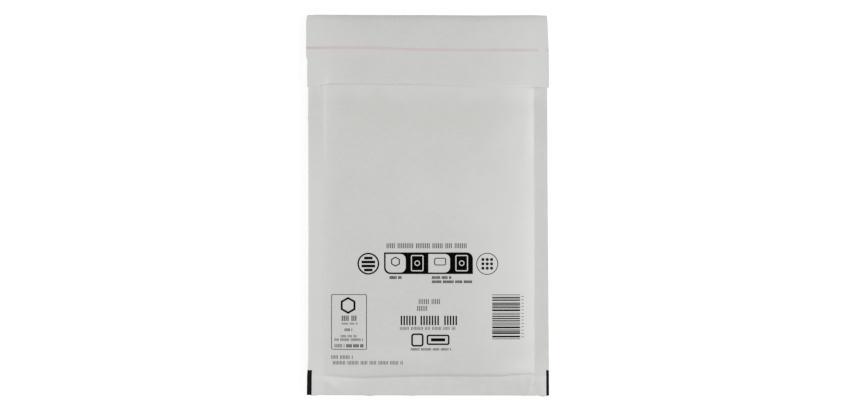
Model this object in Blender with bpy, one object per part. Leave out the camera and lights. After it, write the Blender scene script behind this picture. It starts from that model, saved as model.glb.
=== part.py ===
# A padded postal envelope, lying flat on its back with its flap folded over the front.
# One sheet of white kraft paper makes the flap, the back and the front. It is folded at the
# flap and at the bottom edge. Inside lies a pocket of bubble film, whose rim is pressed flat
# and sealed between the paper along both sides and the bottom. The flap carries a tear strip,
# and a band of adhesive under a release liner that has not been peeled off yet.
# X runs across the envelope, Y from the bottom edge to the flap's fold, Z up. Sizes in metres.

import math

import bmesh
import bpy

# Outline of the folded envelope
envelope_width = 0.140
body_length = 0.220
flap_length = 0.0418
flap_edge_lift = 0.0016
mouth_draw_in = 0.0006

# Flat seams around the padded field, and the mouth's distance below the curve of the fold
side_seam = 0.0080
bottom_seam = 0.0106
mouth_setback = 0.0015

# Layers
paper_thickness = 0.0002
film_rim_thickness = 0.0003
rim_clearance = 0.00015
pad_rise = 0.0029
pad_clearance = 0.0003
strip_thickness = 0.0001
strip_clearance = 0.0001

# Shape of the padded field
side_shoulder = 0.0090
bottom_shoulder = 0.0050
mouth_share = 0.60
mouth_taper = 0.060
field_clearance = 0.0006

# Fold of the flap
fold_slenderness = 2.0
flap_touch_down = 0.0020

# Strips across the flap: the tear strip sits at a share of the flap's length from the crest of
# the fold, the liner starts beyond it, and the adhesive lies within the liner's outline
tear_strip_share = 0.478
tear_strip_width = 0.0020
liner_spacing = 0.0020
liner_overhang = 0.0025
free_margin = 0.0028

# Bubble film
bubble_pitch = 0.0110
bubble_top_share = 0.41
bubble_skirt = 0.0020
film_thickness = 0.00035
pocket_gap = 0.0004
pocket_inset = 0.0025

# Fineness of the curved stretches
shoulder_steps = 6
taper_steps = 8
fold_steps = 12
bottom_fold_steps = 6

# Sizes that follow from the ones above
half_width = envelope_width / 2
field_half = half_width - side_seam
crest_y = body_length / 2
bottom_y = -body_length / 2
field_bottom_y = bottom_y + bottom_seam
rim_half = film_rim_thickness / 2
seam_half = paper_thickness + rim_clearance + rim_half
flap_stack = paper_thickness + 2 * strip_thickness + 3 * strip_clearance
crest_height = 2 * (seam_half + pad_rise * mouth_share) + flap_stack
mouth_y = crest_y - fold_slenderness * crest_height / 2 - mouth_setback
tear_start = flap_length * tear_strip_share - tear_strip_width / 2
tear_end = tear_start + tear_strip_width
liner_start = tear_end + liner_spacing
liner_end = flap_length - free_margin
adhesive_start = liner_start + liner_overhang
adhesive_end = liner_end - liner_overhang


def within(value):
    return min(1.0, max(0.0, value))


def smooth(t):
    t = within(t)
    return t * t * (3 - 2 * t)


def dome(t):
    # Leaves the seam at a crease and levels out on top of the padding
    return 1 - (1 - within(t)) ** 2


# Height of the padding on each side of the seams, thinner towards the mouth
def pad_height(y):
    reach = (crest_y - y) / mouth_taper
    return pad_rise * (mouth_share + (1 - mouth_share) * smooth(reach))


def seam_level(y):
    return seam_half + pad_height(y)


def field_share(x, y):
    across = dome((field_half - abs(x)) / side_shoulder)
    along = dome((y - field_bottom_y) / bottom_shoulder)
    return across * along


def front_z(x, y):
    return seam_level(y) + seam_half + pad_height(y) * field_share(x, y)


def back_z(x, y):
    return seam_level(y) - seam_half - pad_height(y) * field_share(x, y)


# The flap bridges from the top of the padding to near the envelope's side edges
def flap_z(x, y):
    level = field_half - side_shoulder
    edge = half_width - flap_touch_down
    share = dome((edge - abs(x)) / (edge - level))
    return seam_level(y) + seam_half + pad_height(y) * share + flap_stack


# The padding takes up more of the flap on the left, so its free edge stands higher there
def flap_stretch(x):
    padded = dome((field_half - abs(x)) / side_shoulder)
    lift = flap_edge_lift * padded * (half_width - x) / envelope_width
    return (flap_length - lift) / flap_length


def flap_point(x, distance):
    y = crest_y - distance * flap_stretch(x)
    return (x, y, flap_z(x, y))


# How far below the crest the curve of the fold ends, in proportion to the fold's height
def fold_reach(x):
    return fold_slenderness * (flap_z(x, crest_y) - back_z(x, crest_y)) / 2


def body_x(x, y):
    drawn_in = mouth_draw_in * (y - bottom_y) / body_length
    return x * (half_width - drawn_in) / half_width


def columns():
    # Across the sheet: side edge, flap's touch-down line, then the shoulder of the padding
    inner = field_half - side_shoulder
    right = [inner + side_shoulder * i / shoulder_steps for i in range(shoulder_steps + 1)]
    right += [half_width - flap_touch_down, half_width]
    return [-x for x in reversed(right)] + right


def body_stations():
    # Along the body: bottom seam, bottom shoulder, long flat stretch, taper towards the mouth
    shoulder = [field_bottom_y + bottom_shoulder * i / shoulder_steps for i in range(shoulder_steps + 1)]
    taper_start = crest_y - mouth_taper
    taper = [taper_start + (mouth_y - taper_start) * i / taper_steps for i in range(taper_steps + 1)]
    return [bottom_y + seam_half] + shoulder + taper


def adhesive_stations():
    return [adhesive_start, (adhesive_start + adhesive_end) / 2, adhesive_end]


def flap_stations():
    first = fold_reach(0.0)
    lead_in = [first + (tear_start - first) * i / 3 for i in range(1, 3)]
    strips = [tear_start, tear_end, liner_start] + adhesive_stations() + [liner_end]
    return lead_in + strips + [flap_length]


# The curve of the flap's fold, from the flap above to the back panel below
def fold_row(angle):
    row = []
    for x in columns():
        reach = fold_reach(x)
        end_y = crest_y - reach
        high = flap_z(x, end_y)
        low = back_z(x, end_y)
        side = (1 + math.sin(angle)) / 2
        y = end_y + reach * math.cos(angle)
        z = (high + low) / 2 + (high - low) / 2 * math.sin(angle)
        row.append((body_x(x, y) * (1 - side) + x * side, y, z))
    return row


def bottom_fold_row(angle):
    y = bottom_y + seam_half - seam_half * math.cos(angle)
    z = seam_level(bottom_y) + seam_half * math.sin(angle)
    return [(body_x(x, y), y, z) for x in columns()]


def sheet_rows():
    # One strip of paper: flap edge, fold, back panel, bottom fold, front panel, mouth
    rows = [[flap_point(x, distance) for x in columns()] for distance in reversed(flap_stations())]
    for i in range(fold_steps + 1):
        rows.append(fold_row(math.pi / 2 - math.pi * i / fold_steps))
    for y in reversed(body_stations()):
        rows.append([(body_x(x, y), y, back_z(x, y)) for x in columns()])
    for i in range(1, bottom_fold_steps):
        rows.append(bottom_fold_row(-math.pi / 2 + math.pi * i / bottom_fold_steps))
    for y in body_stations():
        rows.append([(body_x(x, y), y, front_z(x, y)) for x in columns()])
    return rows


def add_object(name, bm, material):
    mesh = bpy.data.meshes.new(name)
    bm.to_mesh(mesh)
    bm.free()
    mesh.materials.append(material)
    obj = bpy.data.objects.new(name, mesh)
    bpy.context.scene.collection.objects.link(obj)
    return obj


def add_grid(bm, rows):
    # Quads between neighbouring rows of points, and the vertices for further work
    verts = [[bm.verts.new(point) for point in row] for row in rows]
    for near, far in zip(verts, verts[1:]):
        for i in range(len(near) - 1):
            bm.faces.new((near[i], near[i + 1], far[i + 1], far[i]))
    return verts


def add_material(name, colour, roughness, alpha=1.0):
    material = bpy.data.materials.new(name)
    material.use_nodes = True
    shader = material.node_tree.nodes["Principled BSDF"]
    shader.inputs["Base Color"].default_value = (*colour, 1.0)
    shader.inputs["Roughness"].default_value = roughness
    shader.inputs["Metallic"].default_value = 0.0
    shader.inputs["Alpha"].default_value = alpha
    return material


def build_outer_paper():
    bm = bmesh.new()
    add_grid(bm, sheet_rows())
    paper = add_object("outer_paper", bm, add_material("white_kraft", (0.60, 0.60, 0.58), 0.75))
    solidify = paper.modifiers.new("paper_thickness", "SOLIDIFY")
    solidify.thickness = paper_thickness
    solidify.offset = -1.0
    solidify.use_even_offset = True
    return paper


# A thin strip across the flap, under its paper, between two distances from the crest
def build_strip(name, stations, depth, material):
    top = [[flap_point(x, distance) for x in columns()] for distance in stations]
    bm = bmesh.new()
    upper = add_grid(bm, [[(x, y, z - depth) for x, y, z in row] for row in top])
    lower = add_grid(bm, [[(x, y, z - depth - strip_thickness) for x, y, z in row] for row in top])
    join_rims(bm, upper, lower)
    bmesh.ops.recalc_face_normals(bm, faces=bm.faces)
    return add_object(name, bm, material)


def rim_of(verts):
    # The outline of a grid, once around
    first, last = verts[0], verts[-1]
    left = [row[0] for row in verts[1:-1]]
    right = [row[-1] for row in verts[1:-1]]
    return first + right + last[::-1] + left[::-1]


def join_rims(bm, upper, lower):
    above, below = rim_of(upper), rim_of(lower)
    for i in range(len(above)):
        j = (i + 1) % len(above)
        bm.faces.new((above[i], above[j], below[j], below[i]))


def build_flap_strips():
    near_paper = paper_thickness + strip_clearance
    below_adhesive = near_paper + strip_thickness + strip_clearance
    pink = add_material("pink_tape", (0.80, 0.25, 0.28), 0.35)
    tacky = add_material("clear_adhesive", (0.85, 0.80, 0.62), 0.25)
    waxy = add_material("siliconised_paper", (0.80, 0.80, 0.76), 0.40)
    liner_stations = [liner_start] + adhesive_stations() + [liner_end]
    build_strip("tear_strip", [tear_start, tear_end], near_paper, pink)
    build_strip("closure_adhesive", adhesive_stations(), near_paper, tacky)
    build_strip("release_liner", liner_stations, below_adhesive, waxy)


# Outer surface of the film above the seams' level, on top of a bubble and between bubbles
def bubble_top(x, y):
    across = dome((field_half - field_clearance - abs(x)) / side_shoulder)
    along = dome((y - field_bottom_y - field_clearance) / bottom_shoulder)
    rise = pad_height(y) - (pad_clearance - rim_clearance)
    return rim_half + rise * across * along


def film_valley(x, y):
    across = (field_half - field_clearance - abs(x)) / bubble_skirt
    along = (y - field_bottom_y - field_clearance) / bubble_skirt
    rise = pocket_gap / 2 + film_thickness - rim_half
    return rim_half + rise * min(within(across), within(along))


class FilmLattice:
    # Bubbles stand in rows like bricks, each row half a bubble along from the last

    def __init__(self):
        self.half = field_half - field_clearance
        self.start_y = field_bottom_y + field_clearance
        self.end_y = mouth_y - rim_clearance
        self.across = max(2, round(2 * self.half / bubble_pitch))
        row_depth = bubble_pitch * math.sqrt(3) / 2
        self.rows = max(2, round((self.end_y - self.start_y) / row_depth))
        self.step_x = self.half / self.across
        self.step_y = (self.end_y - self.start_y) / self.rows

    def line_points(self, line):
        # Points of one line between rows, from rim to rim
        y = self.start_y + line * self.step_y
        inner = [-self.half + k * self.step_x for k in range(2 * self.across + 1)]
        edge = half_width - rim_clearance
        return [(-edge, y)] + [(x, y) for x in inner] + [(edge, y)]


def add_film_side(bm, lattice, side):
    # One outer surface of the pocket: side is 1 for the front and -1 for the back
    def place(x, y, height):
        return bm.verts.new((body_x(x, y), y, seam_level(y) + side * height))

    rim_line_y = bottom_y + seam_half
    rim_line = [place(x, rim_line_y, rim_half) for x, _ in lattice.line_points(0)]
    lines = [rim_line]
    for j in range(lattice.rows + 1):
        lines.append([place(x, y, film_valley(x, y)) for x, y in lattice.line_points(j)])

    for k in range(len(rim_line) - 1):
        bm.faces.new((rim_line[k], rim_line[k + 1], lines[1][k + 1], lines[1][k]))
    last = len(rim_line) - 1
    for row in range(lattice.rows):
        low, high = lines[row + 1], lines[row + 2]
        shift = row % 2
        flats = [0, last - 1] + ([1, last - 2] if shift else [])
        for k in flats:
            bm.faces.new((low[k], low[k + 1], high[k + 1], high[k]))
        for k in range(1 + shift, last - 2, 2):
            add_bubble(bm, lattice, place, row, k, low, high)
    return lines


def add_bubble(bm, lattice, place, row, k, low, high):
    foot = [low[k], low[k + 1], low[k + 2], high[k + 2], high[k + 1], high[k]]
    centre_x = -lattice.half + k * lattice.step_x
    centre_y = lattice.start_y + (row + 0.5) * lattice.step_y
    radius_x = 2 * lattice.step_x * bubble_top_share
    radius_y = lattice.step_y * bubble_top_share / (math.sqrt(3) / 2)
    top = []
    for corner in range(6):
        angle = math.radians(210 + 60 * corner)
        x = centre_x + radius_x * math.cos(angle)
        y = centre_y + radius_y * math.sin(angle)
        top.append(place(x, y, max(bubble_top(x, y), film_valley(x, y))))
    for i in range(6):
        j = (i + 1) % 6
        bm.faces.new((foot[i], foot[j], top[j], top[i]))
    bm.faces.new(top)


def pocket_cutter():
    # The space between the two layers of film, open past the mouth
    half = field_half - field_clearance - pocket_inset
    start = field_bottom_y + field_clearance + pocket_inset
    stations = [start] + [y for y in body_stations() if y > start + pocket_inset] + [crest_y]
    bm = bmesh.new()
    upper, lower = (
        add_grid(bm, [[(x, y, seam_level(y) + side * pocket_gap / 2) for x in (-half, half)] for y in stations])
        for side in (1, -1)
    )
    join_rims(bm, upper, lower)
    bmesh.ops.recalc_face_normals(bm, faces=bm.faces)
    cutter = add_object("pocket_space", bm, add_material("cutter", (1.0, 0.0, 0.0), 0.5))
    cutter.hide_render = True
    cutter.display_type = "WIRE"
    return cutter


def build_bubble_lining():
    lattice = FilmLattice()
    bm = bmesh.new()
    front = add_film_side(bm, lattice, 1)
    back = add_film_side(bm, lattice, -1)
    join_rims(bm, front, back)
    bmesh.ops.recalc_face_normals(bm, faces=bm.faces)
    film = add_material("bubble_film", (0.82, 0.86, 0.88), 0.18, 0.55)
    lining = add_object("bubble_lining", bm, film)
    pocket = lining.modifiers.new("pocket", "BOOLEAN")
    pocket.operation = "DIFFERENCE"
    pocket.solver = "EXACT"
    pocket.object = pocket_cutter()
    return lining


def main():
    for obj in list(bpy.data.objects):
        bpy.data.objects.remove(obj)
    build_outer_paper()
    build_flap_strips()
    build_bubble_lining()


main()
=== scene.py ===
# White kraft padded envelope, lying on its back with the flap folded over the front.
# X runs across it, Y from the bottom edge up to the flap's fold, Z up. Metres throughout.
import math

import bpy
import numpy as np
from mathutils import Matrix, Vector
from mathutils.bvhtree import BVHTree


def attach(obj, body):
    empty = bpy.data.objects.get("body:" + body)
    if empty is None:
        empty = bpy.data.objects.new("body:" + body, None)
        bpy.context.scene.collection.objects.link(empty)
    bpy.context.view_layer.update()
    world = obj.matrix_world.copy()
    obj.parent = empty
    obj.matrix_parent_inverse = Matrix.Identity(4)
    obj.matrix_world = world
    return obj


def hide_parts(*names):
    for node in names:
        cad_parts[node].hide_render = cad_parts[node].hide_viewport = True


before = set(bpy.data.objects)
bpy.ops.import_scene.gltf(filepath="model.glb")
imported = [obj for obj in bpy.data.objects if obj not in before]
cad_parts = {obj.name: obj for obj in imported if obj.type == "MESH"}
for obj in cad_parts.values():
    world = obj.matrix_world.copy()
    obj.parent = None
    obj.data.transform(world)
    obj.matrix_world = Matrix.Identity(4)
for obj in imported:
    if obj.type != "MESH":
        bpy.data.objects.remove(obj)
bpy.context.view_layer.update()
mm = 0.001

# The shape that every layer of the envelope follows.

shape = {
    "crest": 0.1100,  # the flap's fold
    "bottom": -0.1100,
    "fieldLeft": -0.0612,  # where the padding meets the flat side seams
    "fieldRight": 0.0619,
    "shoulderLeft": 0.0160,
    "foot": 0.0006,  # how round the padding starts out of the seam
    "shoulderRight": 0.0170,
    "shoulderBottom": (0.0031, 0.0270),  # a sharp step at the crease, then a long gentle rise
    "stepShare": 0.31,
    "padRise": 0.0029,  # each side of the seams' level
    "mouthShare": 0.60,  # how much of the rise is left at the mouth
    "mouthTaper": 0.0600,
    "seamHalf": 0.0004,  # half the thickness of the sealed seams
    "cadSeamHalf": 0.0005,
    "mouth": 0.1033,
    "foldTail": 0.0135,  # how far the flap still slopes down to its fold
    "foldDrop": 0.00085,
    "flapLength": 0.0418,
    "flapStack": 0.0007,  # the flap's face above the front it lies on
    "flapEdge": 0.0690,  # where its free edge crosses the front
    "flapTouch": 0.0685,  # how far out it bridges, on either side
    "halfWidth": 0.070,
}

# the bottom of the padding, as it wanders across the front
bottomCrease = [
    (-0.0612, -0.0995), (-0.0506, -0.1002), (-0.0390, -0.1009), (-0.0275, -0.1005),
    (-0.0159, -0.1000), (0.0073, -0.0997), (0.0420, -0.0999), (0.0478, -0.0994),
    (0.0536, -0.0989), (0.0594, -0.0986), (0.0619, -0.0994),
]

# where the bottom fold bulges out: place, size in millimetres, reach
bottomNibs = [
    (-0.0657, 0.42, 0.0017), (-0.0340, 0.46, 0.0026), (-0.0092, 0.40, 0.0018),
    (0.0559, 0.14, 0.0016), (0.0664, 0.74, 0.0016),
]

# how far the right seam strays from a straight line, up the front
seamWander = [
    (-0.0920, 0.0), (-0.0870, 0.0003), (-0.0750, 0.0004), (-0.0620, 0.0002), (-0.0520, 0.0003),
    (-0.0300, 0.0002), (0.0100, 0.0002), (0.0170, -0.0001), (0.0250, -0.0003), (0.0340, 0.0),
    (0.0500, -0.0001), (0.0570, -0.0003), (0.0640, 0.0),
]

# how far the flap's free edge strays from a straight line
flapWander = [
    (-0.0620, -0.0001), (-0.0565, 0.0003), (-0.0484, 0.0002), (-0.0403, 0.0003), (-0.0322, 0.0004),
    (-0.0241, 0.0002), (-0.0160, 0.0004), (0.0, 0.0004), (0.0081, 0.0001), (0.0162, -0.0001),
    (0.0405, -0.0003), (0.0486, -0.0004), (0.0567, -0.0002),
]

# the same for the fold itself
crestWander = [
    (-0.0700, 0.0001), (-0.0600, 0.00017), (-0.0480, 0.00014), (-0.0400, 0.00006), (-0.0280, 0.00004),
    (-0.0160, 0.0), (0.0010, -0.00001), (0.0130, -0.00008), (0.0220, -0.00019), (0.0280, -0.00024), (0.0360, -0.00021),
    (0.0450, -0.00014), (0.0600, -0.0001), (0.0650, -0.0002), (0.0690, -0.0003),
]

# the tear strip as seen from above, counted from the crest: it bends down once between two places
tear = {"start": 0.01942, "slant": 0.0010, "drop": 0.00102, "from": -0.0365, "to": 0.0040}

# cut edges of the sheet, left and right: along the body, then along the flap
bodyLeft = [
    (-0.110, -0.0702), (-0.098, -0.0700), (-0.090, -0.0694), (-0.012, -0.0692), (0.068, -0.0694), (0.110, -0.0698),
]
bodyRight = [
    (-0.110, 0.0701), (-0.076, 0.0698), (-0.041, 0.0696), (0.011, 0.0692), (0.068, 0.0690), (0.110, 0.0688),
]
flapLeft = [
    (0.0, -0.0695), (0.0008, -0.0702), (0.0040, -0.0706), (0.0240, -0.0706), (0.0262, -0.0699), (0.042, -0.0699),
]
flapRight = [(0.0, 0.0689), (0.0035, 0.0692), (0.0230, 0.0699), (0.042, 0.0701)]

# how much more steeply the right shoulder starts towards its two ends: share, start, reach up the front
steepEnds = [(0.20, 0.015, 0.025), (-0.07, 0.045, 0.020), (0.12, -0.070, -0.015)]

# single bumps and dents of the padded front: height in millimetres, place, reach both ways, turn
frontBumps = [
    (0.62, 0.0545, -0.0943, 0.0080, 0.0042, 0.0),  # the full corner at the bottom right
    (0.14, 0.0596, -0.0968, 0.0013, 0.0009, 0.0),
    (0.09, -0.0330, -0.0977, 0.0040, 0.0005, -0.12),  # a small wrinkle over the bottom crease
    (-0.16, 0.0195, -0.0095, 0.0045, 0.0030, 0.5),
    (-0.07, 0.0174, 0.0655, 0.0020, 0.0007, -0.1),  # a dent just below the flap
]

# the same for the creases pressed into the bottom seam, which start at the corners of the padding
seamCreases = [
    (0.50, -0.0556, -0.1042, 0.0075, 0.0018, -0.60),
    (0.16, -0.0606, -0.1002, 0.0024, 0.0006, -0.50),
    (0.80, 0.0590, -0.1044, 0.0012, 0.0055, -0.27),
    (-0.16, 0.0380, -0.1040, 0.0012, 0.0045, 0.30),
]


def along(points, t):
    return np.interp(t, [p[0] for p in points], [p[1] for p in points])


def ramp(t):
    return np.clip(t, 0.0, 1.0)


def ease(t):
    t = ramp(t)
    return t * t * (3 - 2 * t)


def dome(t):
    return 1 - (1 - ramp(t)) ** 2


def bell(x, y, cx, cy, sx, sy, turn):
    # a soft bump round one spot, from 1 down to 0
    c, s = math.cos(turn), math.sin(turn)
    a, b = (x - cx) * c + (y - cy) * s, (y - cy) * c - (x - cx) * s
    return np.exp(-(a / sx) ** 2 - (b / sy) ** 2)


def softNoise(x, y, wavelength, seed, stretch=1.0):
    # waves in many directions added up, about -1 to 1
    rng = np.random.default_rng(seed)
    total = 0
    for _ in range(14):
        angle, phase = rng.uniform(0, 2 * math.pi, 2)
        k = 2 * math.pi / (wavelength * rng.uniform(0.65, 1.5))
        total = total + np.cos(k * (x * math.cos(angle) + y * math.sin(angle) / stretch) + phase)
    return total / 4.2


def padHeight(y):
    away = shape["crest"] - y
    rise = shape["mouthShare"] + (1 - shape["mouthShare"]) * ease(away / shape["mouthTaper"])
    return shape["padRise"] * rise - shape["foldDrop"] * (1 - ramp(away / shape["foldTail"])) ** 2


def inField(x, y):
    # distance inwards from the nearer side seam, and that side's shoulder
    left, right = x - shape["fieldLeft"], shape["fieldRight"] + along(seamWander, y) - x
    return np.where(left < right, left, right), np.where(left < right, shape["shoulderLeft"], shape["shoulderRight"])


def fieldShare(x, y):
    inwards, shoulder = inField(x, y)
    upwards = y - along(bottomCrease, x)
    near, far = shape["shoulderBottom"]
    step = dome(upwards / (near * (1 - 0.45 * ease((x - 0.046) / 0.010))))  # steepest at the right
    side = np.hypot(np.maximum(inwards, 0), shape["foot"]) - shape["foot"]
    steep = sum(share * ease((y - start) / reach) for share, start, reach in steepEnds)
    steep = np.where(x > 0, steep, 0)
    rise = (1 - steep) * dome(side / shoulder) + steep * dome(side / 0.0070)
    return rise * (shape["stepShare"] * step + (1 - shape["stepShare"]) * dome(upwards / far))


def seamCurl(x, y):
    # the flat seams wave a little, and their outer edges stand slightly higher
    inwards, _ = inField(x, y)
    out = ramp(-inwards / 0.0088)
    down = ramp((along(bottomCrease, x) - y) / 0.0105)
    sway = softNoise(x * 0.3, y, 0.055, 11)
    lift = np.where(x > 0, 0.75, 0.65) * mm * out + 0.14 * mm * out * sway
    lift = lift + 0.022 * mm * softNoise(x, y, 0.0042, 13) * ramp(-inwards / 0.002)
    return lift + 0.13 * mm * down * softNoise(x, y * 0.4, 0.034, 12) - 0.15 * mm * down ** 2


def midLevel(x, y):
    return shape["cadSeamHalf"] + padHeight(y) + seamCurl(x, y)


def bubbleTelegraph(x, y):
    # the bubbles below press a faint brick pattern into the paper
    pitch = film["pitch"]
    row = y / (pitch * 0.866)
    bump = np.cos(2 * math.pi * x / pitch) * np.cos(math.pi * row)
    return bump * (0.5 + 0.5 * softNoise(x, y, 0.045, 21))


def frontRelief(x, y):
    # waviness of the padded front, least at its seams
    share = fieldShare(x, y)
    broad = 0.10 * softNoise(x, y, 0.075, 31) + 0.045 * softNoise(x, y, 0.026, 32)
    fine = 0.020 * softNoise(x, y, 0.0075, 33) + 0.030 * softNoise(x, y, 0.0135, 35) + 0.016 * bubbleTelegraph(x, y)
    relief = (broad + fine) * mm * share
    # short pleats that stand on the bottom crease and fade upwards
    above = y - along(bottomCrease, x)
    pleats = softNoise(x, y * 0.12, 0.0085, 34) * np.exp(-np.abs(above) / 0.0065)
    relief = relief + 0.085 * mm * pleats * ramp(above / 0.001)
    # the crease itself is pinched, most at the right
    pinch = (0.15 + 0.12 * ease((x - 0.025) / 0.020)) * mm
    relief = relief - pinch * np.exp(-((above - 0.0004) / 0.0006) ** 2) * ramp((inField(x, y)[0] - 0.0004) / 0.0024)
    for height, *spot in frontBumps:
        relief = relief + height * mm * bell(x, y, *spot)
    return relief


def seamRelief(x, y):
    # the bottom seam's creases and its own waves
    below = ramp((along(bottomCrease, x) - y) / 0.0015)
    streaks = 0
    for height, *spot in seamCreases:
        streaks = streaks + height * bell(x, y, *spot)
    streaks = streaks + 0.18 * softNoise(x, y * 0.35, 0.010, 41) + 0.10 * softNoise(x, y * 0.6, 0.0048, 42)
    streaks = streaks + 0.06 * softNoise(x, y * 0.8, 0.0030, 43) + 0.08
    # hollows stop at the film between the two papers
    streaks = np.where(streaks < 0, 0.08 * (np.exp(np.minimum(streaks, 0) / 0.08) - 1), streaks)
    return streaks * mm * below


def frontZ(x, y):
    return midLevel(x, y) + shape["seamHalf"] + padHeight(y) * fieldShare(x, y) + frontRelief(x, y) + seamRelief(x, y)


def backZ(x, y):
    hollow = 0.05 * mm * (1 + softNoise(x, y, 0.012, 51)) * ramp(fieldShare(x, y) * 3)
    return midLevel(x, y) - shape["seamHalf"] - padHeight(y) * fieldShare(x, y) + np.maximum(hollow, 0)


def flapShare(x):
    # the flap bridges from the padding's level top to near the side edges
    touch = shape["flapTouch"]
    left = (x + touch) / (touch + shape["fieldLeft"] + shape["shoulderLeft"])
    right = (touch - x) / (touch - shape["fieldRight"] + shape["shoulderRight"])
    return dome(np.minimum(left, right))


def flapZ(x, y, d):
    inwards, _ = inField(x, y)
    outside = ease((0.0060 - inwards) / 0.0065)
    bridging = ease((x + 0.030) / 0.060)
    free = ease((d - 0.0388) / 0.0026)  # past the liner nothing holds it up
    # towards its free edge the flap lies closer on the front, but at the right it runs
    # straight from the padding to its corner
    lies = (0.5 + 0.5 * np.maximum(outside, bridging)) * ease((d - 0.0300) / 0.0110)
    straight = 0.84 * ramp((shape["flapTouch"] - x) / 0.0164) ** 1.3 * bridging
    share = flapShare(x) * (1 - lies) + np.maximum(fieldShare(x, y), straight) * lies
    base = midLevel(x, y) + shape["seamHalf"] + padHeight(y) * share
    relief = frontRelief(x, y) * 0.7 + 0.05 * mm * softNoise(x, y, 0.030, 61) * flapShare(x)
    ridge = 0.07 * mm * np.exp(-((d - tearLine(x)) / 0.0011) ** 2)
    sag = 0.18 + 0.10 * bridging + (0.22 - 0.10 * bridging) * outside
    return base + relief + ridge + shape["flapStack"] - sag * mm * free


def crestY(x):
    return shape["crest"] + along(crestWander, x)


def flapScale(x):
    # the padding takes up more of the flap on the left, so its edge ends higher there
    padded = ease((0.0668 - np.abs(x)) / 0.0090)
    return 1 - (0.0016 * padded * ramp(0.5 - x / 0.14)) / shape["flapLength"]


def flapY(x, d):
    nearEdge = ease((d - 0.030) / 0.010)
    wander = (along(flapWander, x) + 0.09 * mm * softNoise(x, x * 0, 0.021, 62)) * nearEdge
    return crestY(x) - d * flapScale(x) + wander


def tearLine(x):
    drop = tear["drop"] * ease((x - tear["from"]) / (tear["to"] - tear["from"]))
    return (tear["start"] + tear["slant"] * x + drop) / flapScale(x)


# Shader maths.


class Wire:
    # one socket of a material's nodes, which can stand in a sum like a number
    def __init__(self, tree, socket=None):
        self.tree = tree
        self.socket = socket

    def make(self, kind, settings=None, sockets=None, output=0):
        node = self.tree.nodes.new(kind)
        for name, value in (settings or {}).items():
            setattr(node, name, value)
        for name, value in (sockets or {}).items():
            if isinstance(value, Wire):
                self.tree.links.new(value.socket, node.inputs[name])
            else:
                node.inputs[name].default_value = value
        return Wire(self.tree, node.outputs[output])

    def sum(self, operation, *values):
        return self.make("ShaderNodeMath", {"operation": operation}, dict(enumerate(values)))

    def __add__(self, other):
        return self.sum("ADD", self, other)

    def __sub__(self, other):
        return self.sum("SUBTRACT", self, other)

    def __rsub__(self, other):
        return self.sum("SUBTRACT", other, self)

    def __mul__(self, other):
        return self.sum("MULTIPLY", self, other)

    def __gt__(self, other):
        return self.sum("GREATER_THAN", self, other)

    def __lt__(self, other):
        return self.sum("LESS_THAN", self, other)

    def __abs__(self):
        return self.sum("ABSOLUTE", self)

    __radd__ = __add__
    __rmul__ = __mul__

    def within(self, low, high):
        # 0 below low, 1 above high, smooth between
        span = {"interpolation_type": "SMOOTHSTEP"}
        return self.make("ShaderNodeMapRange", span, {0: self, 1: low, 2: high, 3: 0.0, 4: 1.0})


def newMaterial(name, colour, roughness, **plain):
    material = bpy.data.materials.new(name)
    material.use_nodes = True
    shader = material.node_tree.nodes["Principled BSDF"]
    shader.inputs["Base Color"].default_value = (*colour, 1)
    shader.inputs["Roughness"].default_value = roughness
    for socket, value in plain.items():
        shader.inputs[socket.replace("_", " ")].default_value = value
    return material, shader, Wire(material.node_tree)


def plug(wire, shader, socket):
    wire.tree.links.new(wire.socket, shader.inputs[socket])


def sheetPlace(wire):
    # the piece's own unrolled coordinates
    return wire.make("ShaderNodeUVMap", {"uv_map": "sheet"})


def objectPlace(wire):
    return wire.make("ShaderNodeTexCoord", None, None, 3)


def noise(place, scale, detail, **more):
    # soft noise that follows a place
    return place.make("ShaderNodeTexNoise", None, {"Vector": place, "Scale": scale, "Detail": detail, **more})


def tinted(start, colourA, colourB, factor):
    # a mix of two colours, or of a colour and what is there so far
    settings = {"data_type": "RGBA", "clamp_factor": True}
    pick = [c if isinstance(c, Wire) else (*c, 1) for c in (colourA, colourB)]
    return start.make("ShaderNodeMix", settings, {0: factor, 6: pick[0], 7: pick[1]}, 2)


kraft = {
    "white": (0.604, 0.604, 0.588),
    "shade": (0.575, 0.575, 0.556),
    # the lighter paper tone that painted light and painted highlights are mixed towards
    "paintedHighlight": (0.668, 0.668, 0.652),
    "showThrough": (0.584, 0.487, 0.497),
    "inside": (0.66, 0.66, 0.64),
    "cut": (0.70, 0.70, 0.67),
    "roughness": 0.62,
    "paintedLight": [
        # painted highlights on the front, lighter patches where its padding catches light: place, reach, how much
        # lighter
        (0.0500, -0.0320, 0.040, 0.125, 0.66),
        (0.0570, -0.0930, 0.020, 0.013, 0.42),
        (0.0480, 0.0650, 0.022, 0.012, 0.26),
        (0.0500, 0.0450, 0.017, 0.026, 0.26),
        (0.0530, -0.0960, 0.014, 0.0050, 0.45),
        (-0.0585, -0.1010, 0.0050, 0.0026, 0.50),
        (-0.0545, -0.1035, 0.0055, 0.0034, 0.40),
        (0.0080, 0.0040, 0.046, 0.026, 0.22),
        (-0.0147, -0.0862, 0.048, 0.0095, 0.32),
        (-0.0525, -0.0985, 0.026, 0.018, 0.40),
        (0.0680, -0.1020, 0.008, 0.022, 0.60),
    ],
}


def onFront(x, y):
    # where a place on the front lies on the unrolled sheet
    return x, sheet["frontUv"] + shape["flapEdge"] - y


def awayFrom(wire, sheetUv, place, reach):
    # 0 at a place on the sheet, 1 at its reach
    off = wire.make("ShaderNodeVectorMath", {"operation": "SUBTRACT"}, {0: sheetUv, 1: (*place, 0)})
    off = wire.make("ShaderNodeVectorMath", {"operation": "DIVIDE"}, {0: off, 1: (*reach, 1)})
    return wire.make("ShaderNodeVectorMath", {"operation": "LENGTH"}, {0: off}, 1)


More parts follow.
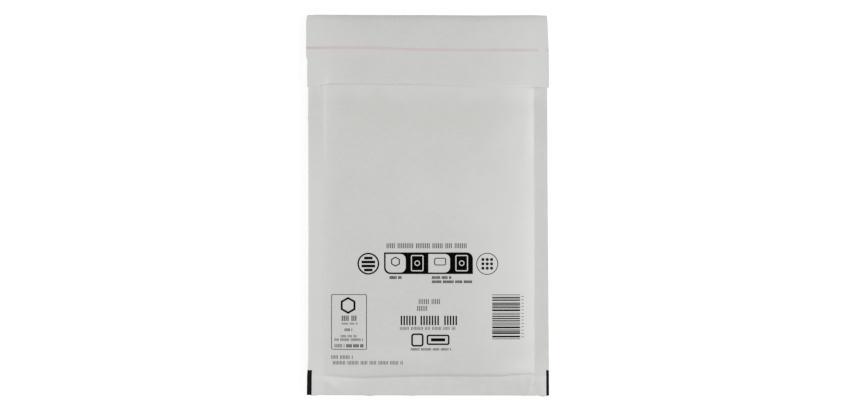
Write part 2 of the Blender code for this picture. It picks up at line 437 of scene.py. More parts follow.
def kraftBump(wire, sheetUv, shader, strength):
    # calendered kraft: fibres that run along the sheet, a fine grain and a soft cockle
    fibreUv = wire.make("ShaderNodeMapping", None, {"Vector": sheetUv, "Scale": (1.0, 0.22, 1.0)})
    fibres = noise(fibreUv, 2600.0, 3.0, Roughness=0.6)
    grain = noise(sheetUv, 5200.0, 1.0)
    cockle = noise(sheetUv, 210.0, 2.0)
    height = fibres * 0.5 + grain * 0.2 + cockle * 1.4
    bump = wire.make("ShaderNodeBump", None, {"Height": height, "Strength": strength, "Distance": 0.00003})
    plug(bump, shader, "Normal")
    return fibres, cockle


def kraftOutside():
    material, shader, wire = newMaterial("whiteKraftOutside", kraft["white"], kraft["roughness"])
    sheetUv = sheetPlace(wire)
    fibres, cockle = kraftBump(wire, sheetUv, shader, 0.35)
    across = wire.make("ShaderNodeSeparateXYZ", None, {0: sheetUv}, 0)
    down = wire.make("ShaderNodeSeparateXYZ", None, {0: sheetUv}, 1)
    onFlap, onFrontSide = down > 0.0, down < sheet["frontFrom"]
    clouds = noise(sheetUv, 60.0, 4.0, Roughness=0.55)
    specks = noise(sheetUv, 900.0, 2.0)
    flecks = noise(sheetUv, 430.0, 2.0, Roughness=0.6)
    mottling = clouds.within(0.36, 0.68) * 0.40 + flecks.within(0.34, 0.66) * 0.62
    mottling = mottling + fibres.within(0.35, 0.7) * 0.18 + specks.within(0.62, 0.74) * 0.25
    # painted shade: the front is painted a little greyer in a band that starts a little below the flap's edge, below
    # the mouth of the pocket
    belowFlap = down - sheet["frontUv"]
    shadeDistance = belowFlap + clouds * 0.012
    paintedShadeBand = shadeDistance.within(0.006, 0.020) - shadeDistance.within(0.024, 0.042)
    paintedShadeBand = paintedShadeBand * across.within(-0.0560, -0.0380)
    colour = tinted(wire, kraft["white"], kraft["shade"], mottling + paintedShadeBand * 0.5 - 0.18)
    # painted highlight: the paper is painted lighter in a band just below the flap's edge, below the mouth of the
    # pocket
    ragged = clouds * 0.006 - 0.003
    paintedHighlight = (belowFlap + ragged).within(-0.0090, -0.0010) - (belowFlap + ragged * 2).within(0.0020, 0.0110)
    # painted light on the left and bottom seams and on the flap towards both its ends, with painted highlights along
    # the left padding's edge, the left cut edge and the flap's free edge
    leftSeam = (1 - across.within(-0.0622, -0.0592)) * (0.12 + 0.46 * belowFlap.within(0.016, 0.066))
    leftRim = (across.within(-0.0613, -0.0606) - across.within(-0.0598, -0.0575)) * (1 - belowFlap.within(0.020, 0.060))
    leftSeam = (leftSeam + leftRim * 0.38 + (1 - across.within(-0.0693, -0.0676)) * 0.2) * onFrontSide
    cutEdge = onFlap * down.within(0.0409, 0.0413) * (1 - abs(across).within(0.0560, 0.0610)) * 0.6
    pastCrease = down - sheet["creaseUv"]
    belowCrease = pastCrease.within(-0.0008, 0.0006)
    bottomSeam = belowCrease * onFrontSide * (across > shape["fieldLeft"])
    bottomSeam = bottomSeam * (0.20 - 0.20 * across.within(0.0, 0.03) + 0.18 * across.within(0.044, 0.058))
    flapEnds = onFlap * ((1 - across.within(-0.0660, -0.0380)) * 0.44 + across.within(0.0150, 0.0640) * 0.38)
    nearCrease = belowCrease * (1 - pastCrease.within(0.0015, 0.0042))
    bottomSeam = bottomSeam + nearCrease * abs(across).within(0.0300, 0.0480) * 0.30
    paintedLight = paintedHighlight * 0.26 + leftSeam + bottomSeam + flapEnds + cutEdge
    for x, y, reachX, reachY, amount in kraft["paintedLight"]:
        away = awayFrom(wire, sheetUv, onFront(x, y), (reachX, reachY))
        spot = (1 - (away + clouds * 0.3).within(0.2, 1.15)) * onFrontSide
        if -0.02 < x < shape["fieldRight"]:
            # only on the padding
            spot = spot * (1 - 0.95 * (across > 0.0616)) * (1 - belowCrease)
        paintedLight = paintedLight + spot * amount
    # all the painted light and painted highlights above are mixed in here as a lighter paper tone
    colour = tinted(wire, colour, kraft["paintedHighlight"], paintedLight)
    # the tear strip inside the flap shows through as a pink line
    line = tear["start"] + tear["slant"] * across + tear["drop"] * across.within(tear["from"], tear["to"])
    line = abs(down - line)
    pink = (1 - line.within(0.0003, 0.0012)) * abs(across - 0.0660).within(0.0012, 0.0036)
    uneven = 0.50 + 0.5 * noise(sheetUv, 130.0, 2.0)
    colour = tinted(wire, colour, kraft["showThrough"], pink * uneven + pink * (across < -0.0620) * 0.35)
    plug(colour, shader, "Base Color")
    plug(0.37 + 0.14 * cockle, shader, "Roughness")
    return material


def kraftInside():
    material, shader, wire = newMaterial("whiteKraftInside", kraft["inside"], 0.8)
    sheetUv = sheetPlace(wire)
    fibres, _ = kraftBump(wire, sheetUv, shader, 0.5)
    plug(tinted(wire, kraft["inside"], kraft["shade"], fibres.within(0.3, 0.8) * 0.5), shader, "Base Color")
    return material


def inkMaterial(name, colour, gloss):
    material, shader, wire = newMaterial(name, colour, 0.5, Specular_IOR_Level=gloss)
    place = objectPlace(wire)
    patchy = noise(place, 1400.0, 3.0)
    lighter = tuple(min(c * 2.2 + 0.004, 1) for c in colour)
    plug(tinted(wire, colour, lighter, patchy.within(0.5, 0.8)), shader, "Base Color")
    plug(0.42 + 0.2 * patchy, shader, "Roughness")
    return material


def kraftCut():
    material, shader, wire = newMaterial("whiteKraftCutEdge", kraft["cut"], 0.9)
    place = objectPlace(wire)
    fray = noise(place, 3000.0, 2.0)
    plug(tinted(wire, kraft["cut"], kraft["shade"], fray.within(0.35, 0.7)), shader, "Base Color")
    return material


# Helpers for pieces.


def deselectAll():
    bpy.ops.object.select_all(action="DESELECT")


def selectOnly(*pieces):
    # the first one becomes the active one
    deselectAll()
    for piece in pieces:
        piece.select_set(True)
    bpy.context.view_layer.objects.active = pieces[0]


def joined(pieces, name):
    selectOnly(*pieces)
    bpy.ops.object.join()
    piece = bpy.context.object
    piece.name = name
    return piece


def openMesh(action="SELECT"):
    bpy.ops.object.mode_set(mode="EDIT")
    bpy.ops.mesh.select_all(action=action)


def closeMesh():
    bpy.ops.object.mode_set(mode="OBJECT")


def addGrid(name, columns, rows):
    # a plain grid from Blender's own primitive, to be folded into shape
    deselectAll()
    bpy.ops.mesh.primitive_grid_add(x_subdivisions=columns - 1, y_subdivisions=rows - 1, size=1)
    piece = bpy.context.object
    piece.name = piece.data.name = name
    piece.data.uv_layers[0].name = "sheet"
    return piece


def shapeGrid(piece, points, uv):
    # points and uv are arrays of rows x columns x 3 or 2
    mesh = piece.data
    mesh.vertices.foreach_set("co", points.reshape(-1).astype(np.float32))
    corners = np.zeros(len(mesh.loops), np.int32)
    mesh.loops.foreach_get("vertex_index", corners)
    mesh.uv_layers["sheet"].data.foreach_set("uv", uv.reshape(-1, 2)[corners].reshape(-1).astype(np.float32))
    mesh.update()


def thicken(piece, thickness, inner=0, rim=0):
    # inwards from the face that shows; inner and rim pick materials
    solidify = piece.modifiers.new("paper", "SOLIDIFY")
    solidify.thickness = thickness
    solidify.offset = -1.0
    solidify.use_quality_normals = True
    solidify.material_offset = inner
    solidify.material_offset_rim = rim
    selectOnly(piece)
    bpy.ops.object.modifier_apply(modifier="paper")


def smoothPiece(piece, angle):
    selectOnly(piece)
    bpy.ops.object.shade_smooth_by_angle(angle=math.radians(angle))


def give(piece, *materials):
    piece.data.materials.clear()
    for material in materials:
        piece.data.materials.append(material)


# The paper.

film = {
    "pitch": 0.0112,
    "radius": 0.0050,
    "base": 0.00022,  # from the seams' level to the flat film
    "rim": 0.00011,  # the same where its two layers are sealed together
    "skin": 0.00010,
    "clear": 0.00012,  # between a bubble and the paper
    "margin": 0.0006,  # between a bubble and the edge of the padding
    "firstRow": -0.0995,
    "colour": (0.84, 0.87, 0.89),
    "hazy": (0.74, 0.78, 0.82),
}

sheet = {
    "thickness": 0.0002,
    "foldReach": 0.0042,
    "foldSteps": 26,
    "bottomSteps": 9,
    "frontFrom": -0.2,  # unrolled, all of the front lies below this
    "frontUv": 0.0,  # filled in below: the flap's edge on the front, unrolled
    "creaseY": -0.0996,
    "creaseUv": 0.0,  # and the bottom crease
    "blockSides": (-0.0673, 0.0684),  # inner edges of the black blocks at the lower corners
    "blockTop": -0.0958,
}

printed = {
    "blocks": (0.0042, 0.0042, 0.0038),
    "ink": (0.0012, 0.0012, 0.0010),
    "faint": (0.016, 0.016, 0.015),
    "lift": 0.00004,  # above the paper's face
    "thickness": 0.00002,
    "cell": 0.00125,  # marks are cut this fine, so that they lie on the paper's waves
}


def spread(*stretches):
    # places along a line from (start, end, count) stretches, each start taken once
    places = [np.linspace(a, b, n, endpoint=False) for a, b, n in stretches]
    return np.concatenate(places + [[stretches[-1][1]]])


def sheetColumns():
    return spread(
        (-0.0700, -0.0673, 3), (-0.0673, -0.0625, 5), (-0.0625, -0.0600, 7), (-0.0600, -0.0460, 12),
        (-0.0460, 0.0460, 64),
        (0.0460, 0.0605, 12), (0.0605, 0.0630, 7), (0.0630, 0.0684, 5), (0.0684, 0.0700, 2),
    )


def fitEdges(x, left, right):
    # only the flat seams outside the padding give way to the cut edges
    padLeft, padRight, half = shape["fieldLeft"], shape["fieldRight"], shape["halfWidth"]
    low = padLeft - (padLeft - x) * (padLeft - left) / (padLeft + half)
    high = padRight + (x - padRight) * (right - padRight) / (half - padRight)
    return np.where(x < padLeft, low, np.where(x > padRight, high, x))


def bodyX(x, y):
    rough = 0.035 * mm * softNoise(y, y * 0, 0.006, 71)
    nick = 0.25 * mm * np.exp(-((y - 0.0505) / 0.0012) ** 2)
    return fitEdges(x, along(bodyLeft, y) - rough - nick, along(bodyRight, y) + rough)


def flapX(x, d):
    rough = 0.035 * mm * softNoise(d, d * 0, 0.005, 72)
    return fitEdges(x, along(flapLeft, d) - rough, along(flapRight, d) + rough)


def flapRow(x, d):
    xs = flapX(x, d)
    y = flapY(xs, d)
    return np.stack([xs, y, flapZ(xs, y, d + xs * 0)], 1)


def foldRow(x, angle):
    # half an ellipse laid over the layers' own slope, so that the fold's end is round
    reach = sheet["foldReach"]
    y = crestY(x) - reach * (1 - math.cos(angle))
    high, low = flapZ(x, y, crestY(x) - y), backZ(x, y)
    side = (1 + math.sin(angle)) / 2
    flapSide, bodySide = flapX(x, crestY(x) - y), bodyX(x, y)
    z = (high + low) / 2 + (high - low) / 2 * math.sin(angle)
    return np.stack([bodySide * (1 - side) + flapSide * side, y, z], 1)


def bottomEdge(x):
    # it lies a little below the solids' edge and slants down to the right
    return shape["bottom"] - 0.00043 - 0.00017 * x / shape["halfWidth"]


def bodyRow(x, y, surface):
    # the lowest rows slant with the bottom edge
    ys = y + (bottomEdge(x) - shape["bottom"]) * ramp((-0.1010 - y) / 0.0080)
    xs = bodyX(x, ys)
    return np.stack([xs, ys, surface(xs, ys)], 1)


def bottomRow(x, angle):
    half = shape["seamHalf"]
    nibs = sum(size * mm * np.exp(-((x - place) / wide) ** 2) for place, size, wide in bottomNibs)
    nibs = nibs + 0.03 * mm * softNoise(x, x * 0, 0.004, 73)
    y0 = bottomEdge(x) + half
    y = y0 - (half + nibs) * math.cos(angle)
    xs = bodyX(x, y0)
    top, low = frontZ(xs, y0), backZ(xs, y0)
    return np.stack([xs, y, (top + low) / 2 + (top - low) / 2 * math.sin(angle)], 1)


def sheetRows(x):
    # in the order in which the sheet runs: flap, fold, back, bottom fold, front
    distances = spread(
        (shape["flapLength"], 0.0380, 7), (0.0380, 0.0230, 15), (0.0230, 0.0175, 12), (0.0175, 0.0085, 9),
    )
    rows = [flapRow(x, d) for d in distances]
    reach = sheet["foldReach"]
    for share in (0.75, 0.5, 0.25):
        rows.append(flapRow(x, reach + (0.0085 - reach) * share))
    firstFold = len(rows)
    foldSteps, bottomSteps = sheet["foldSteps"], sheet["bottomSteps"]
    rows += [foldRow(x, math.pi / 2 - math.pi * i / foldSteps) for i in range(foldSteps + 1)]
    lowest = shape["bottom"] + shape["seamHalf"]
    front = spread(
        (lowest, -0.1010, 14), (-0.1010, sheet["blockTop"], 14), (sheet["blockTop"], -0.0900, 7),
        (-0.0900, 0.0600, 128), (0.0600, 0.0720, 12), (0.0720, shape["mouth"], 16),
    )
    back = spread((shape["mouth"], -0.0900, 92), (-0.0900, -0.1010, 14), (-0.1010, lowest, 7))
    rows += [bodyRow(x, y, backZ) for y in back]
    rows += [bottomRow(x, -math.pi / 2 + math.pi * i / bottomSteps) for i in range(1, bottomSteps)]
    firstFront = len(rows)
    rows += [bodyRow(x, y, frontZ) for y in front]
    return np.array(rows), firstFold, firstFront, front


def buildPaper():
    x = sheetColumns()
    points, firstFold, firstFront, frontYs = sheetRows(x)
    crestRow = firstFold + sheet["foldSteps"] // 2
    # unrolled coordinates: how far along the sheet each row lies, measured down the middle
    middle = points[:, len(x) // 2]
    steps = np.linalg.norm(np.diff(middle, axis=0), axis=1)
    unrolled = np.concatenate([[0], np.cumsum(steps)])
    unrolled = unrolled[crestRow] - unrolled  # counted from the crest, positive on the flap
    known = (shape["flapEdge"], sheet["creaseY"])
    sheet["frontUv"], sheet["creaseUv"] = np.interp(known, frontYs, unrolled[firstFront:]).tolist()
    # on the flap the distance is counted as it looks from above, as the tear line's is
    seen = crestY(points[:, :, 0]) - points[:, :, 1]
    down = np.broadcast_to(unrolled[:, None], points.shape[:2]).copy()
    down[:firstFold] = seen[:firstFold]
    down[firstFold:crestRow] *= seen[firstFold - 1] / unrolled[firstFold - 1]
    uv = np.stack([np.broadcast_to(x, points.shape[:2]), down], 2)
    piece = addGrid("outerPaper", len(x), len(points))
    shapeGrid(piece, points, uv)
    give(piece, kraftOutside(), kraftInside(), kraftCut(), inkMaterial("blackInkBlocks", printed["blocks"], 0.12))
    thicken(piece, sheet["thickness"], 1, 2)
    # the corner blocks are printed round the bottom fold, so they are faces of the sheet itself
    for face in piece.data.polygons:
        x, y, _ = face.center
        inBlock = (x < sheet["blockSides"][0] or x > sheet["blockSides"][1]) and y < sheet["blockTop"]
        if face.material_index == 0 and inBlock and face.normal.z > -0.4:
            face.material_index = 3
    smoothPiece(piece, 60)
    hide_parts("outer_paper")
    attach(piece, "root")
    print("paper:", len(piece.data.polygons), "faces")
    return piece


outerPaper = buildPaper()

# Strips across the flap.

strips = {
    "columns": 70,
    "tape": {
        "near": -0.0010, "far": 0.0010, "depth": 0.00024, "thickness": 0.00008,
        "colour": (0.80, 0.25, 0.28), "worn": (0.70, 0.18, 0.22),
    },
    "adhesive": {
        "near": 0.02548, "far": 0.03650, "depth": 0.00024, "thickness": 0.00009,
        "colour": (0.84, 0.79, 0.62), "worn": (0.74, 0.69, 0.50),
    },
    "liner": {
        "near": 0.02298, "far": 0.03900, "depth": 0.00038, "thickness": 0.00009,
        "colour": (0.80, 0.80, 0.76), "worn": (0.72, 0.72, 0.68),
    },
}


def buildStrip(name, values, rows, material, node, follow):
    # a band under the flap's paper; follow is what its distances are counted from
    x = np.linspace(-shape["halfWidth"], shape["halfWidth"], strips["columns"])
    places = np.linspace(values["near"], values["far"], rows)
    grid = []
    for d in places:
        distance = d + follow(x)
        xs = flapX(x, distance) * 0.9985
        y = flapY(xs, distance)
        grid.append(np.stack([xs, y, flapZ(xs, y, distance) - values["depth"]], 1))
    points = np.array(grid)
    uv = np.stack([points[:, :, 0], np.broadcast_to(places[:, None], points.shape[:2])], 2)
    piece = addGrid(name, len(x), rows)
    shapeGrid(piece, points[::-1], uv[::-1])
    give(piece, material)
    thicken(piece, values["thickness"])
    smoothPiece(piece, 60)
    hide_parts(node)
    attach(piece, "root")


def tapeMaterial():
    tape = strips["tape"]
    material, shader, wire = newMaterial("pinkTape", tape["colour"], 0.32, Coat_Weight=0.2)
    sheetUv = sheetPlace(wire)
    weave = noise(sheetUv, 1500.0, 2.0)
    plug(tinted(wire, tape["colour"], tape["worn"], weave.within(0.35, 0.7)), shader, "Base Color")
    plug(0.26 + 0.14 * weave, shader, "Roughness")
    return material


def adhesiveMaterial():
    adhesive = strips["adhesive"]
    material, shader, wire = newMaterial("clearAdhesive", adhesive["colour"], 0.22, Coat_Weight=0.4)
    sheetUv = sheetPlace(wire)
    ripples = noise(sheetUv, 420.0, 3.0)
    plug(tinted(wire, adhesive["colour"], adhesive["worn"], ripples.within(0.4, 0.7)), shader, "Base Color")
    bump = wire.make("ShaderNodeBump", None, {"Height": ripples, "Strength": 0.4, "Distance": 0.00006})
    plug(bump, shader, "Normal")
    return material


def linerMaterial():
    liner = strips["liner"]
    material, shader, wire = newMaterial("siliconisedPaper", liner["colour"], 0.38, Coat_Weight=0.15)
    sheetUv = sheetPlace(wire)
    fibres, cockle = kraftBump(wire, sheetUv, shader, 0.2)
    plug(tinted(wire, liner["colour"], liner["worn"], fibres.within(0.35, 0.75)), shader, "Base Color")
    plug(0.30 + 0.14 * cockle, shader, "Roughness")
    return material


def fromCrest(x):
    return x * 0


buildStrip("tearTape", strips["tape"], 3, tapeMaterial(), "tear_strip", tearLine)
buildStrip(
    "adhesiveBand", strips["adhesive"], 8, adhesiveMaterial(), "closure_adhesive", fromCrest,
)
buildStrip("releaseLiner", strips["liner"], 11, linerMaterial(), "release_liner", fromCrest)
print("flap strips done")

# The bubble film.


def filmRoom(x, y, side):
    # height left between the flat film and the paper's inner face
    outer = frontZ(x, y) - midLevel(x, y) if side > 0 else midLevel(x, y) - backZ(x, y)
    return np.maximum(outer - sheet["thickness"] - film["base"] - film["clear"], 0.0)


def filmBase(x, y):
    # the two layers part inside the seams
    inwards, _ = inField(x, y)
    gap = ramp(inwards / 0.003) * ramp((y - along(bottomCrease, x)) / 0.003)
    return film["rim"] + (film["base"] - film["rim"]) * gap


def filmLayer(name, side):
    x = spread(
        (-0.0698, -0.0612, 3), (-0.0612, -0.0580, 4), (-0.0580, 0.0580, 44), (0.0580, 0.0619, 4), (0.0619, 0.0698, 3),
    )
    ys = spread(
        (shape["bottom"] + 0.0006, -0.1005, 4), (-0.1005, -0.0960, 6), (-0.0960, shape["mouth"] - 0.0002, 74),
    )
    if side < 0:
        ys = ys[::-1]
    grid = []
    for y in ys:
        xs = bodyX(x, y + x * 0) * 0.998
        flat = y + xs * 0
        grid.append(np.stack([xs, flat, midLevel(xs, flat) + side * filmBase(xs, flat)], 1))
    points = np.array(grid)
    piece = addGrid(name, len(x), len(ys))
    shapeGrid(piece, points, points[:, :, :2])
    thicken(piece, film["skin"])
    return piece


def bubbleModel():
    # one bubble, open below, 1 across its foot and 1 high
    deselectAll()
    bpy.ops.mesh.primitive_circle_add(vertices=12, radius=1.0, fill_type="NGON")
    piece = bpy.context.object
    openMesh()
    for scale, lift in ((0.965, 0.52), (0.84, 0.34), (0.55, 0.115)):
        bpy.ops.mesh.extrude_region_move(TRANSFORM_OT_translate={"value": (0, 0, lift)})
        level = piece.matrix_world.translation.z
        bpy.ops.transform.resize(value=(scale, scale, 1), center_override=(0, 0, level))
    bpy.ops.mesh.poke(offset=0.0)
    closeMesh()
    return piece


def bubbleField(name, side):
    model = bubbleModel()
    unit = np.zeros(len(model.data.vertices) * 3, np.float32)
    model.data.vertices.foreach_get("co", unit)
    unit = unit.reshape(-1, 3).astype(float)
    pitch, rowPitch, radius = film["pitch"], film["pitch"] * 0.866, film["radius"]
    copies = []
    row = 0
    y = film["firstRow"] + radius + 0.0012
    while y < shape["mouth"] - radius - 0.0004:
        shift = 0.5 * (row % 2)
        for column in range(-6, 6):
            x = (column + shift) * pitch + 0.0003
            if shape["fieldLeft"] + radius + film["margin"] < x < shape["fieldRight"] - radius - film["margin"]:
                copies.append((x, y))
        row += 1
        y += rowPitch
    made = []
    for x, y in copies:
        copy = model.copy()
        copy.data = model.data.copy()
        bpy.context.scene.collection.objects.link(copy)
        px, py = x + unit[:, 0] * radius, y + unit[:, 1] * radius
        lift = filmBase(px, py) + unit[:, 2] * filmRoom(px, py, side)
        pz = midLevel(px, py) + side * lift
        copy.data.vertices.foreach_set("co", np.stack([px, py, pz], 1).reshape(-1).astype(np.float32))
        if side < 0:
            copy.data.flip_normals()
        made.append(copy)
    bpy.data.objects.remove(model)
    return joined(made, name), len(copies)


def filmMaterial():
    material, shader, wire = newMaterial("bubbleFilm", film["colour"], 0.16, Coat_Weight=0.5, Alpha=0.55)
    place = objectPlace(wire)
    haze = noise(place, 260.0, 3.0)
    plug(tinted(wire, film["colour"], film["hazy"], haze.within(0.35, 0.7)), shader, "Base Color")
    plug(0.12 + 0.14 * haze, shader, "Roughness")
    bump = wire.make("ShaderNodeBump", None, {"Height": haze, "Strength": 0.3, "Distance": 0.00012})
    plug(bump, shader, "Normal")
    return material


def buildFilm():
    material = filmMaterial()
    layers, count = [], 0
    for side, label in ((1, "Front"), (-1, "Back")):
        layers.append(filmLayer("film" + label, side))
        bubbles, n = bubbleField("bubbles" + label, side)
        layers.append(bubbles)
        count += n
    piece = joined(layers, "bubbleFilm")
    give(piece, material)
    smoothPiece(piece, 50)
    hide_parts("bubble_lining")
    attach(piece, "root")
    print("film:", count, "bubbles,", len(piece.data.polygons), "faces")


buildFilm()

# Printed marks: plain shapes and rows of strokes.


def box(left, bottom, right, top):
    # a flat mark between two corners, in millimetres
    deselectAll()
    bpy.ops.mesh.primitive_plane_add(size=1)
    piece = bpy.context.object
    for v in piece.data.vertices:
        v.co = ((left if v.co.x < 0 else right) * mm, (bottom if v.co.y < 0 else top) * mm, 0)
    return piece


def roundCorners(piece, radius, corners=("ll", "lr", "ul", "ur")):
    # corners are named lower or upper, then left or right
    xs = [v.co.x for v in piece.data.vertices]
    ys = [v.co.y for v in piece.data.vertices]
    cx, cy = (min(xs) + max(xs)) / 2, (min(ys) + max(ys)) / 2
    openMesh("DESELECT")
    closeMesh()
    for v in piece.data.vertices:
        v.select = ("l" if v.co.y < cy else "u") + ("l" if v.co.x < cx else "r") in corners
    bpy.ops.object.mode_set(mode="EDIT")
    bpy.ops.mesh.bevel(offset=radius * mm, segments=6, affect="VERTICES")
    closeMesh()
    return piece


def ring(cx, cy, radius, width, sides=48):
    deselectAll()
    centre = (cx * mm, cy * mm, 0)
    bpy.ops.mesh.primitive_circle_add(vertices=sides, radius=radius * mm, fill_type="NGON", location=centre)
    piece = bpy.context.object
    openMesh()
    if width < radius:
        bpy.ops.mesh.inset(thickness=width * mm)
        bpy.ops.mesh.delete(type="FACE")
    closeMesh()
    bpy.ops.object.transform_apply(location=True)
    return piece


def outline(left, bottom, right, top, width, radius):
    piece = roundCorners(box(left, bottom, right, top), radius)
    openMesh()
    bpy.ops.mesh.inset(thickness=width * mm)
    bpy.ops.mesh.delete(type="FACE")
    closeMesh()
    return piece


def strokeRow(left, bottom, right, height, pitch, weight, seed):
    # a line of even upright ticks in groups
    rng = np.random.default_rng(seed)
    marks = []
    x, group = left, int(rng.integers(4, 10))
    while x < right - weight:
        marks.append(box(x, bottom, x + weight, bottom + height))
        x += pitch
        group -= 1
        if group == 0:
            x += pitch * 1.1
            group = int(rng.integers(4, 10))
    return marks


def barRow(left, bottom, right, top, seed):
    # a striped tag: bars of a few widths that lie across it, drawn at random
    rng = np.random.default_rng(seed)
    marks, y = [], bottom
    module = 0.33
    while y < top - module:
        bar = module * rng.choice([1, 1, 2, 3])
        marks.append(box(left, y, right, min(y + bar, top)))
        y += bar + module * rng.choice([1, 1, 2, 2, 3])
    return marks


def joinMarks(name, marks, material, lift):
    piece = joined(marks, name)
    piece.data.name = name
    # cut into cells, which then drop onto the paper
    bpy.ops.object.mode_set(mode="EDIT")
    low = [min(v[i] for v in piece.bound_box) for i in range(2)]
    high = [max(v[i] for v in piece.bound_box) for i in range(2)]
    for axis in range(2):
        place = low[axis] + printed["cell"]
        while place < high[axis]:
            bpy.ops.mesh.select_all(action="SELECT")
            at, normal = [0.0, 0.0, 0.0], [0.0, 0.0, 0.0]
            at[axis], normal[axis] = place, 1.0
            bpy.ops.mesh.bisect(plane_co=at, plane_no=normal)
            place += printed["cell"]
    closeMesh()
    for v in piece.data.vertices:
        hit = paperTree.ray_cast((v.co.x, v.co.y, 0.03), (0, 0, -1))[0]
        v.co.z = hit.z + lift
    # the marks share the sheet's own unrolled coordinates
    layer = piece.data.uv_layers[0]
    layer.name = "sheet"
    for corner in piece.data.loops:
        x, y, _ = piece.data.vertices[corner.vertex_index].co
        layer.data[corner.index].uv = onFront(x, y)
    thicken(piece, printed["thickness"])
    give(piece, material)
    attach(piece, "root")
    return piece


def buildPrint():
    dark, light, faint, inside = [], [], [], []
    # a dark band with two light windows, its lower left and upper right corners round
    dark.append(roundCorners(box(-25.4, -40.1, 25.9, -27.6), 3.6, ("ll", "ur")))
    light.append(roundCorners(box(-24.5, -39.2, -12.9, -28.5), 3.0, ("ll", "lr", "ur")))
    light.append(roundCorners(box(0.2, -39.2, 12.7, -28.5), 3.0, ("lr", "ur")))
    inside.append(ring(-18.8, -32.9, 2.9, 0.6, 6))
    inside.append(outline(3.6, -35.1, 10.4, -30.7, 0.5, 1.0))
    for left in (-9.9, 15.8):
        light.append(outline(left, -38.5, left + 7.3, -29.1, 0.6, 0.9))
        light.append(ring(left + 3.65, -33.8, 1.6, 0.5, 24))
    # round marks left and right of the band
    dark.append(ring(-34.5, -34.1, 6.3, 0.85))
    for i, half in enumerate((2.4, 3.9, 3.9, 2.4)):
        dark.append(box(-34.5 - half, -31.6 - 2.3 * i, -34.5 + half, -30.1 - 2.3 * i))
    faint.append(ring(34.2, -34.2, 6.3, 0.42))
    for i in range(3):
        for j in range(3):
            faint.append(ring(34.2 + 2.5 * (i - 1), -34.2 + 2.5 * (j - 1), 0.9, 0.9, 14))
    # rows of strokes above and below the band
    faint += strokeRow(-23.9, -25.2, 23.0, 2.9, 1.05, 0.42, 101)
    dark += strokeRow(-22.2, -42.9, -15.2, 1.6, 0.70, 0.50, 102)
    dark += strokeRow(2.3, -42.9, 13.9, 1.6, 0.70, 0.44, 103)
    dark += strokeRow(2.3, -45.3, 25.9, 1.5, 0.70, 0.47, 104)
    # the framed block at the lower left
    dark.append(outline(-56.0, -83.8, -35.4, -51.8, 0.33, 0.8))
    dark.append(ring(-46.2, -58.2, 4.9, 1.1, 6))
    dark += strokeRow(-49.8, -67.2, -41.1, 3.1, 1.10, 0.54, 117)
    for left, low, right, height, weight, seed in (
        (-49.8, -69.3, -40.6, 1.1, 0.27, 111), (-48.2, -73.1, -43.3, 1.6, 0.33, 112),
        (-50.4, -76.7, -41.1, 1.4, 0.26, 113), (-54.0, -78.7, -37.4, 1.4, 0.29, 114),
        (-54.0, -82.5, -48.1, 1.9, 0.26, 115), (-47.2, -82.5, -37.4, 1.9, 0.42, 116),
    ):
        (dark if weight >= 0.3 else faint).extend(strokeRow(left, low, right, height, 0.66, weight, seed))
    faint += strokeRow(-55.9, -89.2, -43.4, 2.1, 0.84, 0.30, 121)
    faint += strokeRow(-55.0, -92.5, -13.9, 2.1, 0.84, 0.29, 122)
    # the middle block: small strokes, two bold rows and two plain frames
    faint += strokeRow(-5.3, -57.5, 7.5, 3.0, 1.05, 0.38, 131)
    faint += strokeRow(-6.2, -61.4, 0.0, 2.9, 1.05, 0.38, 132)
    for left, right in ((-15.8, 7.8), (9.4, 18.3)):
        dark += strokeRow(left, -69.6, right, 5.4, 1.62, 0.82, 135)
    faint += strokeRow(-16.2, -72.4, 16.2, 1.8, 0.80, 0.27, 133)
    dark.append(outline(-9.7, -82.0, -2.6, -74.4, 0.95, 1.6))
    dark.append(outline(-0.8, -81.1, 12.4, -75.1, 0.9, 1.2))
    dark.append(box(1.7, -79.0, 9.9, -77.2))
    dark += strokeRow(-9.9, -84.3, 13.3, 1.4, 0.66, 0.30, 134)
    # the striped tag at the lower right, with small ticks beside it
    dark += barRow(37.1, -77.7, 53.2, -51.7, 141)
    faint += [box(54.0, -76.6 + 1.95 * i, 55.3, -76.3 + 1.95 * i) for i in range(13)]
    joinMarks("printDark", dark, inkMaterial("blackInk", printed["ink"], 0.03), printed["lift"])
    joinMarks("printFaint", faint, inkMaterial("blackInkThin", printed["faint"], 0.05), printed["lift"])
    joinMarks("printWindows", light, kraftOutside(), printed["lift"] * 2)
    joinMarks("printInWindows", inside, inkMaterial("blackInkInWindows", printed["ink"], 0.03), printed["lift"] * 3)
    print("print:", len(dark + inside), "dark,", len(faint), "thin and", len(light), "light marks")


paperTree = BVHTree.FromObject(outerPaper, bpy.context.evaluated_depsgraph_get())
buildPrint()

# Table, light and camera.

studio = {
    "pixel": 0.0005787,  # one pixel of the photograph at the envelope's face, in metres
    "pictureWidth": 854,
    "lens": 85.0,
    "sensor": 36.0,
    "faceHeight": 0.0048,  # the level at which a pixel has that size
    "aim": (-0.0006, -0.0002),
    "world": 0.345,
    "table": {"size": 4.0, "level": -0.0002, "colour": (0.80, 0.80, 0.80), "glow": 0.45},
    "lamps": [
        # name, degrees above the table, distance (to the left where negative), size, watts
        ("softboxRight", 32.0, 1.2, 0.50, 10.75),
        ("softboxLeft", 28.0, -1.2, 0.50, 8.85),
    ],
}


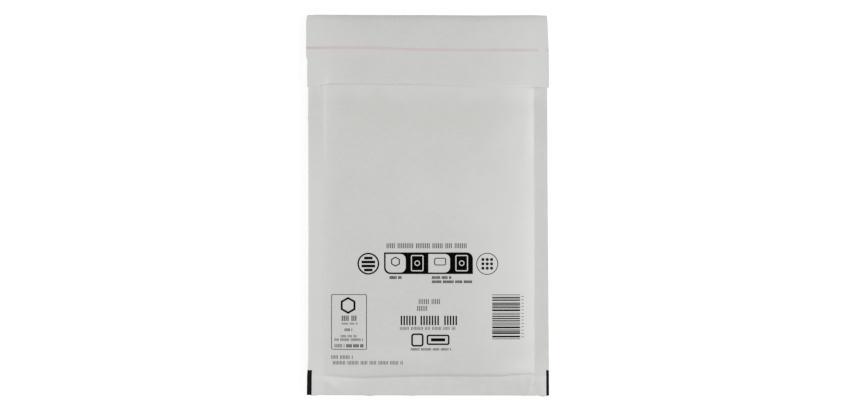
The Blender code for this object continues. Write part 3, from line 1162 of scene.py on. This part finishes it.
def tableMaterial():
    # the camera sees a white table, still darkened by the envelope's shadow
    material, shader, wire = newMaterial("tableWhite", studio["table"]["colour"], 0.9)
    plug(wire.make("ShaderNodeTexNoise", None, {"Scale": 40.0}) * 0.02 + 0.89, shader, "Roughness")
    path = material.node_tree.nodes.new("ShaderNodeLightPath")
    rays = ("Is Camera Ray", "Is Glossy Ray", "Is Transmission Ray")
    camera, glossy, through = [Wire(wire.tree, path.outputs[ray]) for ray in rays]
    seen = wire.sum("MAXIMUM", wire.sum("MAXIMUM", camera, glossy), through)
    shader.inputs["Emission Color"].default_value = (1, 1, 1, 1)
    glow = wire.make("ShaderNodeEmission", None, {"Color": (1, 1, 1, 1), "Strength": studio["table"]["glow"]})
    dark = wire.make("ShaderNodeEmission", None, {"Color": (0, 0, 0, 1), "Strength": 0.0})
    extra = wire.make("ShaderNodeMixShader", None, {0: seen, 1: dark, 2: glow})
    both = wire.make("ShaderNodeAddShader", None, {0: Wire(wire.tree, shader.outputs[0]), 1: extra})
    output = material.node_tree.nodes["Material Output"]
    wire.tree.links.new(both.socket, output.inputs["Surface"])
    return material


def buildStudio():
    deselectAll()
    bpy.ops.mesh.primitive_plane_add(size=studio["table"]["size"], location=(0, 0, studio["table"]["level"]))
    table = bpy.context.object
    table.name = "table"
    table.data.materials.append(tableMaterial())

    world = bpy.data.worlds.new("softRoom")
    bpy.context.scene.world = world
    world.use_nodes = True
    background = world.node_tree.nodes["Background"]
    background.inputs["Color"].default_value = (1, 1, 1, 1)
    background.inputs["Strength"].default_value = studio["world"]

    for name, elevation, distance, size, watts in studio["lamps"]:
        light = bpy.data.lights.new(name, "AREA")
        light.shape = "SQUARE"
        light.size, light.energy = size, watts
        lamp = bpy.data.objects.new(name, light)
        bpy.context.scene.collection.objects.link(lamp)
        up = math.radians(elevation)
        lamp.location = (distance * math.cos(up), 0, abs(distance) * math.sin(up))
        lamp.rotation_euler = Vector(lamp.location).to_track_quat("Z", "Y").to_euler()

    cameraData = bpy.data.cameras.new("photoCamera")
    cameraData.lens = studio["lens"]
    cameraData.sensor_width = studio["sensor"]
    camera = bpy.data.objects.new("photoCamera", cameraData)
    bpy.context.scene.collection.objects.link(camera)
    distance = studio["pictureWidth"] * studio["pixel"] * studio["lens"] / studio["sensor"]
    camera.location = (*studio["aim"], distance + studio["faceHeight"])
    bpy.context.scene.camera = camera
    bpy.context.scene.view_settings.view_transform = "Standard"
    print("studio done")


buildStudio()
